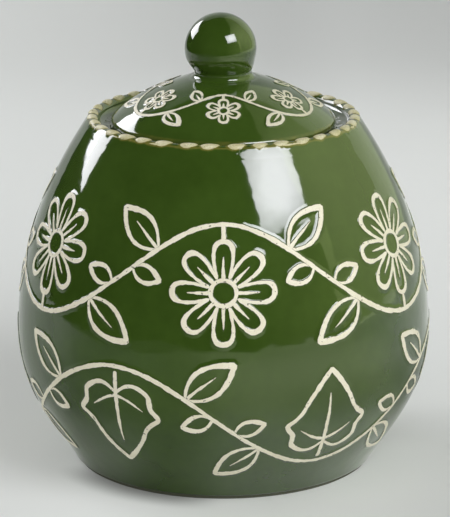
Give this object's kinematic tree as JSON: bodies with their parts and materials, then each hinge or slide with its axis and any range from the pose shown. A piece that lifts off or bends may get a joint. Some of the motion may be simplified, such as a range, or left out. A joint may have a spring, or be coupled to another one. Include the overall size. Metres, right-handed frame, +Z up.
{
  "type": "sugar bowl with lid",
  "caption": "Round-bellied lidded sugar bowl in green-glazed stoneware, with a rope edge, raised cream vine lines and a ball knob.",
  "frame": {"origin": "on the table under the middle of the pot, at the bottom of its foot ring", "axes": "+Z up along the axis the pot was turned on, -Y towards the viewer of the picture, +X to the viewer's right"},
  "size_m": [0.1157, 0.1156, 0.1248],
  "materials": {
    "green_glaze": "glossy dark green glaze",
    "cream_slip": "matte cream slip, unglazed",
    "bare_clay": "matte bare clay"
  },
  "bodies": {
    "pot": {"pot_body": "green_glaze", "foot_ring": "bare_clay", "rim_rope": "cream_slip", "upper_vine_1": "cream_slip", "upper_vine_2": "cream_slip", "upper_vine_3": "cream_slip", "upper_vine_4": "cream_slip", "upper_vine_5": "cream_slip", "upper_vine_6": "cream_slip", "daisy_1": "cream_slip", "daisy_2": "cream_slip", "daisy_3": "cream_slip", "daisy_4": "cream_slip", "daisy_5": "cream_slip", "daisy_6": "cream_slip", "lower_vine_1": "cream_slip", "lower_vine_2": "cream_slip", "lower_vine_3": "cream_slip", "lower_vine_4": "cream_slip", "lower_vine_5": "cream_slip", "lower_vine_6": "cream_slip", "ivy_leaf_1": "cream_slip", "ivy_leaf_2": "cream_slip", "ivy_leaf_3": "cream_slip", "ivy_leaf_4": "cream_slip", "ivy_leaf_5": "cream_slip", "ivy_leaf_6": "cream_slip"},
    "lid": {"lid_dome": "green_glaze", "lid_collar": "bare_clay", "lid_knob": "green_glaze", "lid_vine_1": "cream_slip", "lid_vine_2": "cream_slip", "lid_vine_3": "cream_slip", "lid_vine_4": "cream_slip", "lid_vine_5": "cream_slip", "lid_vine_6": "cream_slip", "lid_daisy_1": "cream_slip", "lid_daisy_2": "cream_slip", "lid_daisy_3": "cream_slip", "lid_daisy_4": "cream_slip", "lid_daisy_5": "cream_slip", "lid_daisy_6": "cream_slip"}
  },
  "joints": [
    {"name": "lid_lift", "type": "slide", "parent": "pot", "child": "lid", "axis": [0, 0, 1], "range_m": [0, 0.06]}
  ]
}
